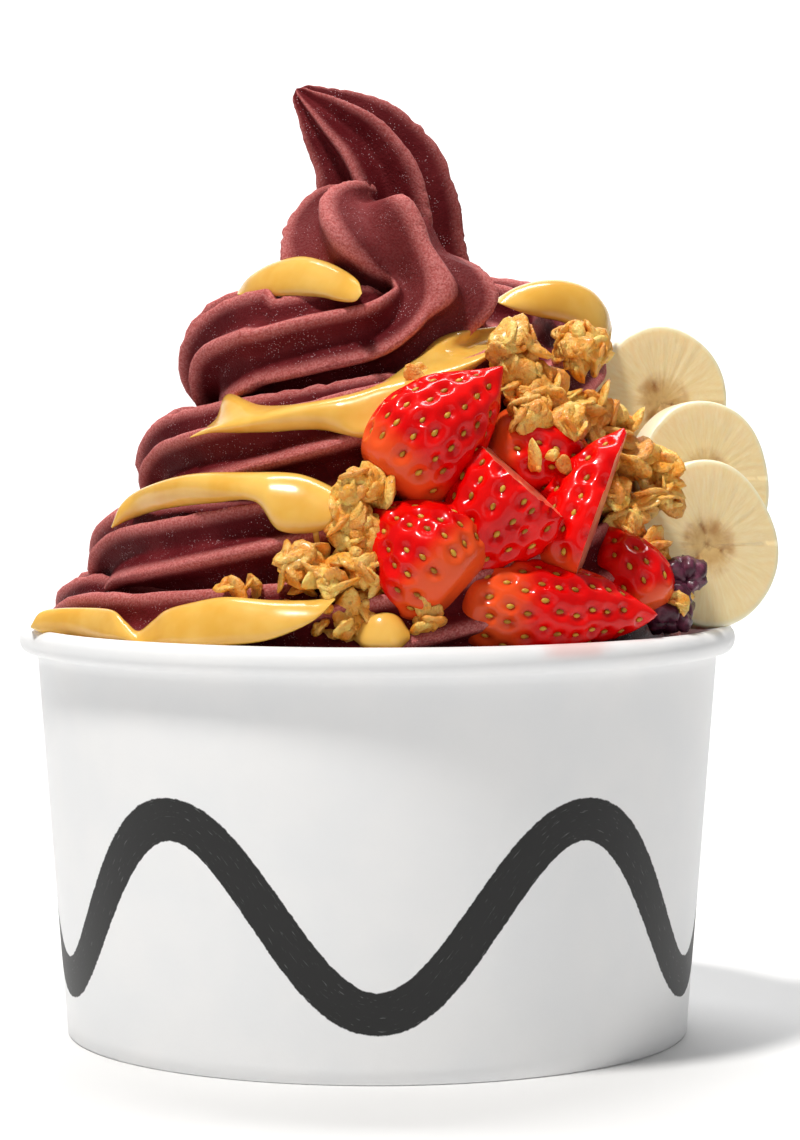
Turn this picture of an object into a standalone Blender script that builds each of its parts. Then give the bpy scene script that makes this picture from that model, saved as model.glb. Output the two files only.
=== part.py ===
"""Frozen yogurt cup: a paper tub with a tall fluted swirl, nut-butter sauce, fruit and granola.

Lengths are in millimetres up to the last step, which places every mesh in metres. The cup's own
axis is the z axis of the "cup_axis" empty. That empty stands a little left of the origin, because
the banana slices hang out over the rim on the right and the origin is the middle of the whole.
"""
import math
import random

import bmesh
import bpy
from mathutils import Matrix, Vector

MM = 0.001
GAP = 0.39                    # air kept between pieces that touch
SMOOTH_BELOW = 40             # degrees between faces that are shaded as one surface

# Paper tub
CUP_AXIS_X = -3.6
CUP_HEIGHT = 72.6
BASE_RADIUS = 55.2
WALL_TOP_RADIUS = 60.3
RIM_RADIUS = 63.5
RIM_HEIGHT = 4.8
RIM_STEPS = 10
RIM_CURL = 240                # degrees that the rolled edge runs from the inner wall outwards
PAPER = 0.7
FLOOR_HEIGHT = 7.0
CUP_SIDES = 44

# Swirl: one fluted strand that climbs counter-clockwise, seen from above
RIDGES = 7
STRAND_RADIUS = 10.5
VALLEY = 0.79                 # radius in a flute, as a part of the radius on a ridge
VALLEY_EDGES = (0.36, 0.64)   # where a flute's floor starts and ends between two ridges
TURN_START = -0.6
TURN_END = 3.245
STEPS_PER_TURN = 19
COIL_RADIUS = 49.0            # on the left side of the lowest coil, where turns are counted from
COIL_RADIUS_MOST = 48.4
COIL_STEP_IN = (7.2, 0.5)     # per turn, and per turn squared
COIL_HEIGHT = 74.2
COIL_RISE = (13.6, 0.75)
LEAN_RIGHT = 0.12             # the coils are tilted up towards +x and +y
LEAN_BACK = 0.07
RIDGE_PHASE = -17.7           # degrees above the outward direction at whole turns
RIDGE_SPIRAL = 4              # ridges that pass a fixed point of the section in one turn
SINK_FROM = -0.1              # before this turn the strand dives into the cup
SINK_DEPTH = 13.0
SINK_CURVE = 1.5
SINK_INWARDS = 2.5
PLUG_TOP = 67.5
DOME = 2.0                    # how far the middle of the plug and the core rises above its edge
CORE_CONE = ((48.0, 60.0), (40.0, 84.0), (31.0, 100.0), (21.0, 118.5), (13.0, 128.0))
CORE_SIDES = 18

# Fluted knob that the strand turns up into: the middle, radius and the degrees of its front ridge
# towards the right. The ridges slant like the strand's up to its corner, then stand up.
KNOB_STATIONS = (
    (6.5, -16.5, 114.0, 10.0, -110.0),
    (5.0, -17.5, 120.0, 14.8, -82.0),
    (4.5, -16.8, 126.0, 15.8, -41.0),
    (3.0, -12.0, 130.5, 17.8, -12.0),
    (0.5, -8.0, 136.0, 17.5, -14.0),
    (-2.0, -5.5, 141.0, 15.3, -16.0),
    (-3.6, -4.0, 145.5, 11.6, -18.0),
    (-4.2, -3.5, 149.0, 5.0, -20.0),
)

# Pulled tip that leans left: x, height, radius
TIP_STATIONS = (
    (2.8, 122.0, 17.5),
    (2.8, 130.0, 15.5),
    (2.6, 138.0, 12.5),
    (2.1, 144.0, 13.6),
    (-1.2, 152.0, 10.9),
    (-6.6, 159.0, 6.9),
    (-11.6, 164.0, 3.6),
    (-14.2, 166.6, 1.3),
)
TIP_PHASE = -7.0

# Thick sauce on the strand: first and last turn, the angle on the section at both ends in degrees,
# half its spread on the section in degrees, and how far it stands out
SAUCE_RIBBONS = (
    (3.06, 3.26, 80, 84, 30, 3.4),
    (2.10, 2.38, 64, 84, 38, 3.2),
    (1.05, 1.25, 70, 66, 40, 3.0),
    (1.19, 1.25, 36, 28, 22, 2.4),
    (-0.03, 0.11, 44, 40, 28, 2.2),
    (0.12, 0.25, 44, 48, 32, 2.4),
    (0.24, 0.28, 30, 24, 30, 3.0),
    (2.38, 2.57, 94, 88, 32, 3.6),
    (2.66, 2.86, 84, 70, 28, 2.6),
    (1.56, 1.84, 70, 60, 30, 2.6),
)
SAUCE_STATIONS = 7
SAUCE_SIDES = 6
SAUCE_ENDS = 0.02             # part of a half wave left out at each end, which keeps the ends open
SAUCE_FULLNESS = 0.6          # below 1 the ribbon widens fast from its ends
SAUCE_ROOT = 1.8              # depth of its middle below the ridges
SAUCE_UNDERSIDE = 2.0

# Strawberry pieces: middle, direction from stem to tip, length, width, and the cuts, each the
# direction that the cut face looks and how far it lies from the middle
STRAWBERRIES = (
    ((11.0, -42.5, 108.3), (0.72, 0.15, 0.70), 28.0, 19.0, (((0.2, 0.9, -0.3), 3.0),)),
    ((6.3, -48.7, 87.8), (-0.62, 0.25, 0.55), 21.5, 20.5, (((0.1, 0.9, -0.25), 5.5),)),
    ((19.2, -45.6, 92.6), (-0.48, -0.38, -0.70), 24.0, 20.5, (((0.62, 0.10, 0.72), 8.0),)),
    ((28.5, -33.5, 102.0), (0.85, 0.10, -0.25), 21.0, 17.0, (((-0.1, 0.8, -0.6), 3.0),)),
    ((36.6, -38.0, 94.6), (0.34, 0.12, 0.93), 28.0, 21.0,
     (((0.86, -0.12, -0.28), 1.0), ((0.1, 1.0, 0.1), 4.0))),
    ((42.0, -30.0, 83.5), (-0.35, 0.30, 0.80), 17.0, 14.5, (((0.1, 0.9, -0.3), 4.0),)),
    ((29.8, -44.2, 77.4), (0.97, 0.22, -0.05), 35.0, 17.0, (((-0.1, 0.7, -0.75), 3.0),)),
)
BERRY_RINGS = 7
BERRY_SIDES = 12
BERRY_ENDS = 0.48             # half of the length that the rings span, as a part
BERRY_SHOULDER = 0.62         # moves the widest place towards the stem
BERRY_TAPER = 0.55
BERRY_FRONT = (0.3, -1.0, 0.2)

# Banana slices, front to back: middle, radius, and the direction of the face that shows
BANANAS = (
    ((56.6, -10.5, 86.6), 14.8, (0.40, -0.90, 0.12)),
    ((56.8, -1.8, 97.8), 14.0, (0.40, -0.90, 0.12)),
    ((49.8, 4.8, 111.2), 14.0, (0.38, -0.91, 0.13)),
)
BANANA_THICKNESS = 6.0
BANANA_SIDES = 20
BANANA_EDGE = 0.8             # height of the softened edge
BANANA_EDGE_PART = 0.955      # radius at the face, as a part of the radius below the edge
BANANA_CORNERS = (0.022, 0.6) # depth as a part of the radius, and turn in radians
BANANA_SQUEEZE = 0.96

# Granola clusters: name, how many crumbs, how far they spread, and the line they lie along
GRANOLA = (
    ("granola_top", 12, 4.2, ((23.0, -32.0, 121.0), (26.0, -31.5, 112.0), (32.0, -29.0, 110.0),
                              (35.5, -21.5, 121.5), (38.0, -26.0, 109.0), (45.0, -23.0, 103.0),
                              (47.5, -22.0, 96.0))),
    ("granola_middle", 5, 3.8, ((-2.5, -49.5, 97.5), (-2.0, -50.0, 91.0))),
    ("granola_low", 7, 4.2, ((-12.5, -51.0, 84.5), (-5.5, -53.0, 82.5), (-3.5, -54.0, 77.0))),
    ("granola_loose_1", 2, 1.4, ((-22.5, -47.5, 80.6),)),
    ("granola_loose_2", 2, 1.8, ((-16.2, -53.2, 76.2),)),
    ("granola_loose_3", 2, 1.0, ((-6.8, -55.4, 75.2),)),
    ("granola_loose_4", 2, 1.2, ((7.8, -55.4, 76.2),)),
    ("granola_loose_5", 1, 0.5, ((27.4, -42.5, 102.0),)),
    ("granola_loose_6", 1, 0.5, ((7.0, -36.0, 115.6),)),
)
CRUMB_SIDES = 6
CRUMB_END_PART = 0.6          # outline of a crumb's flat faces, as a part of its middle outline
CRUMB_LENGTH = (6.5, 9.0)
CRUMB_WIDTH = (0.7, 0.85)     # as a part of the length
CRUMB_THICKNESS = (2.4, 3.4, 4.6)
CRUMB_TILT = 1.2              # radians
CRUMB_FLATNESS = 0.6          # spread of a cluster towards the front, as a part of its spread
SEED = 11
CLUSTER_CORE = (9.5, 7.0, 7.0)    # size of the lumps that hold a cluster together
CLUSTER_CORE_STEP = 6.5

# Crushed dark fruit between the strawberries and the banana
CRUSH_LINE = ((46.0, -30.5, 79.0), (50.5, -23.5, 77.5))
CRUSH_LUMPS = 5
CRUSH_SPREAD = 3.6

# Colour and roughness
MATERIALS = {
    "white_paper": ((0.83, 0.83, 0.82), 0.35),
    "fruit_soft_serve": ((0.13, 0.025, 0.032), 0.5),
    "strawberry": ((0.62, 0.01, 0.005), 0.25),
    "banana": ((0.76, 0.63, 0.36), 0.45),
    "toasted_oats": ((0.68, 0.40, 0.13), 0.6),
    "crushed_dark_fruit": ((0.06, 0.012, 0.03), 0.35),
}


def cup_radius(z):
    """Outer radius of the paper wall at a height."""
    return BASE_RADIUS + (WALL_TOP_RADIUS - BASE_RADIUS) * z / (CUP_HEIGHT - RIM_HEIGHT)


def loft(rings):
    """A closed mesh through rings of equally many points, with a fan over each end."""
    bm = bmesh.new()
    loops = [[bm.verts.new(p) for p in ring] for ring in rings]
    for low, high in zip(loops, loops[1:]):
        for i in range(len(low)):
            bm.faces.new((low[i - 1], low[i], high[i], high[i - 1]))
    for loop in (loops[0], loops[-1]):
        middle = bm.verts.new(sum((v.co for v in loop), Vector()) / len(loop))
        for i in range(len(loop)):
            bm.faces.new((loop[i - 1], loop[i], middle))
    bmesh.ops.recalc_face_normals(bm, faces=bm.faces)
    return bm


def turned(profile, sides):
    """A profile of radii and heights, from the axis round to the axis, spun into a solid."""
    bm = bmesh.new()
    verts = [bm.verts.new((r, 0.0, z)) for r, z in profile]
    edges = [bm.edges.new(pair) for pair in zip(verts, verts[1:])]
    bmesh.ops.spin(bm, geom=verts + edges, cent=(0, 0, 0), axis=(0, 0, 1), angle=math.tau,
                   steps=sides, use_merge=True)
    bmesh.ops.remove_doubles(bm, verts=bm.verts, dist=0.001)
    bmesh.ops.recalc_face_normals(bm, faces=bm.faces)
    return bm


def grown(bm, distance):
    """The same shape with each face moved outwards by a distance."""
    bm.normal_update()
    moves = [v.normal * distance * min(v.calc_shell_factor(), 2.0) for v in bm.verts]
    for vert, move in zip(bm.verts, moves):
        vert.co += move
    return bm


def make_object(name, bm, material):
    """An object in metres, parented to the cup's axis."""
    mesh = bpy.data.meshes.new(name)
    bmesh.ops.triangulate(bm, faces=bm.faces)
    bmesh.ops.transform(bm, matrix=Matrix.Scale(MM, 4), verts=bm.verts)
    bm.to_mesh(mesh)
    bm.free()
    mesh.materials.append(material)
    obj = bpy.data.objects.new(name, mesh)
    bpy.context.scene.collection.objects.link(obj)
    obj.parent = bpy.data.objects["cup_axis"]
    return obj


def make_materials():
    materials = {}
    for name, (color, roughness) in MATERIALS.items():
        material = bpy.data.materials.new(name)
        material.use_nodes = True
        shader = material.node_tree.nodes["Principled BSDF"]
        shader.inputs["Base Color"].default_value = (*color, 1.0)
        shader.inputs["Roughness"].default_value = roughness
        materials[name] = material
    return materials


def combine(target, shapes, operation, crossing=False):
    """Join shapes to an object, or cut them from it, by one Boolean on a collection.

    `crossing` is for shapes that cross themselves, such as the strand.
    """
    tools = bpy.data.collections.new("tools")
    bpy.context.scene.collection.children.link(tools)
    for shape in shapes:
        tool = make_object("tool", shape, target.data.materials[0])
        bpy.context.scene.collection.objects.unlink(tool)
        tools.objects.link(tool)
    boolean = target.modifiers.new(operation, "BOOLEAN")
    boolean.operation = operation
    boolean.operand_type = "COLLECTION"
    boolean.collection = tools
    boolean.solver = "EXACT"
    boolean.use_self = crossing
    bpy.context.view_layer.update()
    evaluated = target.evaluated_get(bpy.context.evaluated_depsgraph_get())
    mesh = bpy.data.meshes.new_from_object(evaluated)
    target.modifiers.remove(boolean)
    old = target.data
    target.data = mesh
    mesh.name = target.name
    bpy.data.meshes.remove(old)
    for tool in list(tools.objects):
        bpy.data.meshes.remove(tool.data)
    bpy.data.collections.remove(tools)


def keep_largest(obj):
    """Drop the loose scrap that a cut leaves."""
    bm = bmesh.new()
    bm.from_mesh(obj.data)
    waiting = set(bm.verts)
    bodies = []
    while waiting:
        body = [waiting.pop()]
        for vert in body:
            for edge in vert.link_edges:
                other = edge.other_vert(vert)
                if other in waiting:
                    waiting.remove(other)
                    body.append(other)
        bodies.append(body)
    bodies.sort(key=len)
    scrap = [vert for body in bodies[:-1] for vert in body]
    bmesh.ops.delete(bm, geom=scrap, context="VERTS")
    bmesh.ops.triangulate(bm, faces=bm.faces)
    bm.to_mesh(obj.data)
    bm.free()


def shade(obj):
    obj.data.shade_smooth()
    obj.data.set_sharp_from_angle(angle=math.radians(SMOOTH_BELOW))


def cup_shell():
    """Wall, recessed floor and rolled rim, glued into one."""
    roll_in = WALL_TOP_RADIUS - PAPER
    roll_width = (RIM_RADIUS - roll_in) / 2
    roll_z = CUP_HEIGHT - RIM_HEIGHT / 2
    floor_top = FLOOR_HEIGHT + PAPER
    profile = [(0.0, floor_top), (cup_radius(floor_top) - PAPER, floor_top)]
    for step in range(RIM_STEPS + 1):
        angle = math.radians(180 - RIM_CURL * step / RIM_STEPS)
        profile.append((roll_in + roll_width * (1 + math.cos(angle)),
                        roll_z + RIM_HEIGHT / 2 * math.sin(angle)))
    profile += [
        (WALL_TOP_RADIUS, CUP_HEIGHT - RIM_HEIGHT),
        (BASE_RADIUS, 0.0),
        (BASE_RADIUS - 2 * PAPER, 0.0),
        (cup_radius(FLOOR_HEIGHT) - 2 * PAPER, FLOOR_HEIGHT),
        (0.0, FLOOR_HEIGHT),
    ]
    return turned(profile, CUP_SIDES)


def coil(turn):
    """Middle of the strand and its outward direction after some turns."""
    angle = math.pi + math.tau * turn
    out = Vector((math.cos(angle), math.sin(angle), 0.0))
    radius = COIL_RADIUS - COIL_STEP_IN[0] * turn - COIL_STEP_IN[1] * turn ** 2
    radius = min(radius, COIL_RADIUS_MOST)
    height = COIL_HEIGHT + COIL_RISE[0] * turn + COIL_RISE[1] * turn ** 2
    if turn < SINK_FROM:
        sink = (SINK_FROM - turn) / (SINK_FROM - TURN_START)
        height -= SINK_DEPTH * sink ** SINK_CURVE
        radius -= SINK_INWARDS * sink
    middle = out * radius
    middle.z = height + LEAN_RIGHT * middle.x + LEAN_BACK * middle.y
    return middle, out


def on_strand(turn, degrees, radius):
    """A point near the strand, by its angle above the outward direction."""
    middle, out = coil(turn)
    angle = math.radians(degrees)
    return middle + out * radius * math.cos(angle) + Vector((0, 0, radius * math.sin(angle)))


def star(radius):
    """Angle in degrees and radius of the points of a fluted section."""
    for ridge in range(RIDGES):
        for place, part in ((0.0, 1.0), (VALLEY_EDGES[0], VALLEY), (VALLEY_EDGES[1], VALLEY)):
            yield 360 * (ridge + place) / RIDGES, radius * part


def strand():
    """The whole strand, closed at both ends; each turn lies partly in the one below."""
    steps = round((TURN_END - TURN_START) * STEPS_PER_TURN)
    rings = []
    for step in range(steps + 1):
        turn = TURN_START + (TURN_END - TURN_START) * step / steps
        phase = RIDGE_PHASE + RIDGE_SPIRAL * 360 / RIDGES * turn
        rings.append([on_strand(turn, phase + angle, r) for angle, r in star(STRAND_RADIUS)])
    return loft(rings)


def knob():
    rings = []
    for x, y, z, radius, phase in KNOB_STATIONS:
        ring = []
        for angle, r in star(radius):
            turn = math.radians(angle + phase)
            ring.append(Vector((x + r * math.sin(turn), y - r * math.cos(turn), z)))
        rings.append(ring)
    return loft(rings)


def tip():
    """The leaning tip: its sections stand square to the line through its stations."""
    middles = [Vector((x, 0.0, z)) for x, z, _ in TIP_STATIONS]
    rings = []
    for i, (_, _, radius) in enumerate(TIP_STATIONS):
        along = (middles[min(i + 1, len(middles) - 1)] - middles[max(i - 1, 0)]).normalized()
        side = Vector((0, 1, 0)).cross(along)
        ring = []
        for angle, r in star(radius):
            turn = math.radians(angle + TIP_PHASE)
            ring.append(middles[i] + side * r * math.sin(turn) + Vector((0, -r * math.cos(turn), 0)))
        rings.append(ring)
    return loft(rings)


def sauce(first, last, start_angle, end_angle, spread, height):
    """A thick ribbon of sauce that hugs the strand and thins out at both ends."""
    rings = []
    for station in range(SAUCE_STATIONS):
        part = station / (SAUCE_STATIONS - 1)
        wave = math.sin(math.pi * (SAUCE_ENDS + (1 - 2 * SAUCE_ENDS) * part))
        swell = wave ** SAUCE_FULLNESS
        ring = []
        for side in range(SAUCE_SIDES):
            around = math.tau * side / SAUCE_SIDES
            angle = start_angle + (end_angle - start_angle) * part + spread * swell * math.cos(around)
            lift = math.sin(around)
            lift *= (height + SAUCE_ROOT) * swell if lift > 0 else SAUCE_UNDERSIDE
            reach = STRAND_RADIUS - SAUCE_ROOT + lift
            ring.append(on_strand(first + (last - first) * part, angle, reach))
        rings.append(ring)
    return loft(rings)


def frame_from(forward, upward):
    """A rotation whose z looks forward and whose y leans upward."""
    z = Vector(forward).normalized()
    x = Vector(upward).cross(z).normalized()
    return Matrix((x, z.cross(x), z)).transposed()


def berry(middle, along, length, width, cuts):
    """A hulled strawberry with its tip towards `along`, cut by flat faces."""
    turn = frame_from(along, BERRY_FRONT)
    rings = []
    for ring in range(BERRY_RINGS):
        part = 0.5 - BERRY_ENDS * math.cos(math.pi * ring / (BERRY_RINGS - 1))
        bulge = math.sin(math.pi * part ** BERRY_SHOULDER)
        radius = width / 2 * bulge ** (BERRY_TAPER * (1 + part))
        z = length * (part - 0.5)
        ring_points = []
        for side in range(BERRY_SIDES):
            a = math.tau * side / BERRY_SIDES
            ring_points.append(Vector((radius * math.cos(a), radius * math.sin(a), z)))
        rings.append(ring_points)
    bm = loft(rings)
    bmesh.ops.transform(bm, matrix=Matrix.Translation(middle) @ turn.to_4x4(), verts=bm.verts)
    for facing, distance in cuts:
        normal = Vector(facing).normalized()
        geom = list(bm.verts) + list(bm.edges) + list(bm.faces)
        cut = bmesh.ops.bisect_plane(bm, geom=geom, plane_co=Vector(middle) + normal * distance,
                                     plane_no=normal, clear_outer=True)
        rim = [edge for edge in cut["geom_cut"] if isinstance(edge, bmesh.types.BMEdge)]
        bmesh.ops.contextual_create(bm, geom=rim)
    bmesh.ops.recalc_face_normals(bm, faces=bm.faces)
    return bm


def banana_slice(middle, radius, facing):
    """A slice with a faintly three-cornered outline and softened edges."""
    turn = frame_from(facing, (0, 0, 1))
    half = BANANA_THICKNESS / 2
    rings = []
    corner, corner_turn = BANANA_CORNERS
    for z, part in ((-half, BANANA_EDGE_PART), (BANANA_EDGE - half, 1.0),
                    (half - BANANA_EDGE, 1.0), (half, BANANA_EDGE_PART)):
        ring = []
        for side in range(BANANA_SIDES):
            a = math.tau * side / BANANA_SIDES
            r = radius * part * (1 + corner * math.cos(3 * a + corner_turn))
            ring.append(Vector((BANANA_SQUEEZE * r * math.cos(a), r * math.sin(a), z)))
        rings.append(ring)
    bm = loft(rings)
    bmesh.ops.transform(bm, matrix=Matrix.Translation(middle) @ turn.to_4x4(), verts=bm.verts)
    return bm


def crumb(middle, length, width, thickness, turn):
    """A flat-sided oat flake or a nut crumb of about thirty faces."""
    rings = []
    for height, part in ((-0.5, CRUMB_END_PART), (0.0, 1.0), (0.5, CRUMB_END_PART)):
        ring = []
        for side in range(CRUMB_SIDES):
            a = math.tau * side / CRUMB_SIDES
            x, y = length / 2 * math.cos(a), width / 2 * math.sin(a)
            ring.append(Vector((part * x, part * y, thickness * height)))
        rings.append(ring)
    bm = loft(rings)
    bmesh.ops.transform(bm, matrix=Matrix.Translation(middle) @ turn.to_4x4(), verts=bm.verts)
    return bm


def on_line(line, part):
    """A point part of the way along a line through some points."""
    along = part * (len(line) - 1)
    first = min(int(along), len(line) - 1)
    second = min(first + 1, len(line) - 1)
    return Vector(line[first]).lerp(Vector(line[second]), along - first)


def crumb_places(count, line, spread, draw):
    """Middle, size and turn of each crumb of a cluster, the lumps that hold it together first."""
    length = sum((Vector(b) - Vector(a)).length for a, b in zip(line, line[1:]))
    lumps = round(length / CLUSTER_CORE_STEP) + 1 if length else 0
    for index in range(lumps):
        yield on_line(line, index / (lumps - 1)), *CLUSTER_CORE, Matrix.Rotation(index, 3, "Y")
    for index in range(count):
        middle = on_line(line, (index + 0.5) / count)
        middle += Vector([draw.uniform(-spread, spread) * part for part in (1.0, CRUMB_FLATNESS, 1.0)])
        length = draw.uniform(*CRUMB_LENGTH)
        thickness = draw.choice(CRUMB_THICKNESS)
        tilt = draw.uniform(-CRUMB_TILT, CRUMB_TILT)
        turn = Matrix.Rotation(draw.uniform(0, math.tau), 3, "Z")
        turn = turn @ Matrix.Rotation(tilt, 3, draw.choice("XY"))
        yield middle, length, length * draw.uniform(*CRUMB_WIDTH), thickness, turn


def clusters():
    """Name, material and crumbs of each heap."""
    draw = random.Random(SEED)
    for name, count, spread, line in GRANOLA:
        yield name, "toasted_oats", list(crumb_places(count, line, spread, draw))
    crush = list(crumb_places(CRUSH_LUMPS, CRUSH_LINE, CRUSH_SPREAD, draw))
    yield "berry_crush", "crushed_dark_fruit", crush


def plug():
    """What fills the cup below the coils."""
    floor = FLOOR_HEIGHT + PAPER + 1.5 * GAP
    profile = [(0.0, floor)]
    for z in (floor, PLUG_TOP):
        profile.append((cup_radius(z) - PAPER - 1.5 * GAP, z))
    profile.append((0.0, PLUG_TOP + DOME))
    return turned(profile, CUP_SIDES)


def core():
    """The middle that the coils lie round."""
    profile = [(0.0, CORE_CONE[0][1]), *CORE_CONE, (0.0, CORE_CONE[-1][1] + DOME)]
    return turned(profile, CORE_SIDES)


def build():
    for obj in list(bpy.data.objects):
        bpy.data.objects.remove(obj)
    axis = bpy.data.objects.new("cup_axis", None)
    axis.location.x = CUP_AXIS_X * MM
    bpy.context.scene.collection.objects.link(axis)
    materials = make_materials()

    cup = make_object("cup", cup_shell(), materials["white_paper"])
    shade(cup)

    pieces = []
    for index, row in enumerate(STRAWBERRIES, 1):
        pieces.append((f"strawberry_{index}", "strawberry", [(berry, row)]))
    for index, row in enumerate(BANANAS, 1):
        pieces.append((f"banana_slice_{index}", "banana", [(banana_slice, row)]))
    for name, kind, crumbs in clusters():
        pieces.append((name, kind, [(crumb, row) for row in crumbs]))

    # Each piece is cut to lie on those placed before it, and the swirl last of all.
    placed = [(cup_shell, ())]
    for name, kind, shapes in pieces:
        first, *others = [make(*row) for make, row in shapes]
        obj = make_object(name, first, materials[kind])
        if others:
            combine(obj, others, "UNION")
        combine(obj, [grown(make(*row), GAP) for make, row in placed], "DIFFERENCE")
        keep_largest(obj)
        shade(obj)
        placed += shapes

    soft_serve = make_object("soft_serve", plug(), materials["fruit_soft_serve"])
    ribbons = [sauce(*row) for row in SAUCE_RIBBONS]
    combine(soft_serve, [core(), strand(), knob(), tip()] + ribbons, "UNION", crossing=True)
    combine(soft_serve, [grown(make(*row), GAP) for make, row in placed], "DIFFERENCE")
    keep_largest(soft_serve)
    shade(soft_serve)


build()
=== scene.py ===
"""Looks of the frozen yogurt cup: paper tub, fluted soft-serve swirl, nut-butter sauce, fruit and granola.

Shapes are worked out in millimetres about the cup's own axis, which stands a little left of the origin.
"""
import math
import random

import bpy
import numpy as np
from mathutils import Matrix, Vector, noise
from mathutils.bvhtree import BVHTree


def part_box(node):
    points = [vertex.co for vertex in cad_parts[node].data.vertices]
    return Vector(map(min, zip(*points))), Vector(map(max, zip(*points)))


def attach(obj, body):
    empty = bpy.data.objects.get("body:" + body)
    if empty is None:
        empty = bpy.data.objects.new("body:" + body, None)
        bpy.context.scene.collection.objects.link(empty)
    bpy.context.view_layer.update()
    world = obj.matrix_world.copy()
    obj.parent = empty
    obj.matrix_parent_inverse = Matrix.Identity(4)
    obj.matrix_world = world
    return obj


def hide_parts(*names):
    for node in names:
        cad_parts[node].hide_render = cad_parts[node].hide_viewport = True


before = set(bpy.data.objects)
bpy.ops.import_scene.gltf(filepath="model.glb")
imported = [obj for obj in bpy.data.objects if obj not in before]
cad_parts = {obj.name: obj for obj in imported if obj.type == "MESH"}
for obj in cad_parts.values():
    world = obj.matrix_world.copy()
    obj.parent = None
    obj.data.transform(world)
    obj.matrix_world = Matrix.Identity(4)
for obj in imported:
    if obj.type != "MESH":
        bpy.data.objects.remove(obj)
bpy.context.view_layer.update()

MM = 0.001
CUP_LOW, CUP_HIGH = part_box("cup")
AXIS = np.array(((CUP_LOW.x + CUP_HIGH.x) / 2, 0.0, 0.0))
EYE = np.array((0.0, -642.9, 116.0))      # the camera, in millimetres about the cup's axis
FOCAL_PIXELS, PHOTO_PIXELS = 3616.6, 1140      # the photograph's focal length and height, in its own pixels
PHOTO_AXIS, PHOTO_LEVEL = 377.3, 378.0         # the pixel where the camera's height meets the cup's axis
PIXELS_PER_MM = 5.625                          # on the plane of the cup's axis


# Shaping helpers.

def mode(name):
    bpy.ops.object.mode_set(mode=name)


def start_afresh():
    if bpy.context.object and bpy.context.object.mode != "OBJECT":
        mode("OBJECT")
    bpy.ops.object.select_all(action="DESELECT")


def take(piece):
    start_afresh()
    piece.select_set(True)
    bpy.context.view_layer.objects.active = piece


def to_row(points):
    return np.asarray(points) * MM + AXIS


def points_of(piece):
    flat = np.empty(len(piece.data.vertices) * 3, np.float32)
    piece.data.vertices.foreach_get("co", flat)
    return flat.reshape(-1, 3).astype(float)


def pull(piece, points):
    piece.data.vertices.foreach_set("co", np.asarray(points, np.float32).ravel())
    piece.data.update()


def mark(piece, name, values):
    """Keep a number at each point, for the material to read."""
    layer = piece.data.attributes.new(name, "FLOAT", "POINT")
    layer.data.foreach_set("value", np.asarray(values, np.float32))


def pick_edges(piece, chosen):
    """Select the edges whose two ends pass chosen(), and go into edit mode."""
    take(piece)
    mode("EDIT")
    bpy.ops.mesh.select_all(action="DESELECT")
    mode("OBJECT")
    for edge in piece.data.edges:
        edge.select = chosen([piece.data.vertices[i] for i in edge.vertices])
    mode("EDIT")


def close_up(piece):
    """Weld the seam and the poles, fill what is open, and turn the faces outwards."""
    take(piece)
    mode("EDIT")
    bpy.ops.mesh.select_all(action="SELECT")
    bpy.ops.mesh.remove_doubles(threshold=2e-6)
    bpy.ops.mesh.select_all(action="DESELECT")
    bpy.ops.mesh.select_non_manifold()
    bpy.ops.mesh.fill_holes(sides=0)
    bpy.ops.mesh.select_all(action="SELECT")
    bpy.ops.mesh.normals_make_consistent(inside=False)
    mode("OBJECT")
    bpy.ops.object.shade_smooth()


def rolled_tube(name, around, along, place):
    """A flat grid rolled up into a closed body.

    place() takes the way round and the way along, 0 to 1, and gives the points and the marks.
    """
    start_afresh()
    bpy.ops.mesh.primitive_grid_add(x_subdivisions=around, y_subdivisions=along, size=1)
    piece = bpy.context.object
    piece.name = piece.data.name = name
    flat = points_of(piece)
    points, marks = place(np.clip(flat[:, 0] + 0.5, 0, 1), np.clip(flat[:, 1] + 0.5, 0, 1))
    pull(piece, to_row(points))
    for key, values in marks.items():
        mark(piece, key, values)
    close_up(piece)
    return piece


def join(name, pieces):
    take(pieces[0])
    for piece in pieces[1:]:
        piece.select_set(True)
    bpy.ops.object.join()
    piece = bpy.context.object
    piece.name = piece.data.name = name
    return piece


def ripple(points, size, shift=0.0):
    """Soft noise, about -1 to 1, at points in millimetres."""
    rows = (np.asarray(points) / size + shift).tolist()
    return np.array([noise.noise(row) for row in rows])


def ease(low, high, x):
    t = np.clip((x - low) / (high - low), 0, 1)
    return t * t * (3 - 2 * t)


def humps(x, rows):
    """Bell-shaped swellings added up; each row is middle, reach and size."""
    return sum(size * np.exp(-((x - middle) / reach) ** 2) for middle, reach, size in rows)


def through(stations, part):
    """A smooth line through rows of numbers; part runs from 0 to 1."""
    rows = np.asarray(stations, float)
    rows = np.vstack((2 * rows[0] - rows[1], rows, 2 * rows[-1] - rows[-2]))
    where = np.clip(np.asarray(part) * (len(rows) - 3), 0, len(rows) - 3 - 1e-9)
    i = where.astype(int)
    t = (where - i)[:, None]
    a, b, c, d = rows[i], rows[i + 1], rows[i + 2], rows[i + 3]
    return 0.5 * (2 * b + (c - a) * t + (2 * a - 5 * b + 4 * c - d) * t ** 2
                  + (3 * b - a - 3 * c + d) * t ** 3)


# Material helpers.

def shade(r, g, b):
    """A colour from display values, 0 to 255, as the light sees it."""
    return tuple(((c / 255 + 0.055) / 1.055) ** 2.4 if c > 10 else c / 3294.6 for c in (r, g, b)) + (1.0,)


def wire(tree, socket, value):
    if isinstance(value, bpy.types.NodeSocket):
        tree.links.new(value, socket)
    else:
        socket.default_value = value


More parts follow.
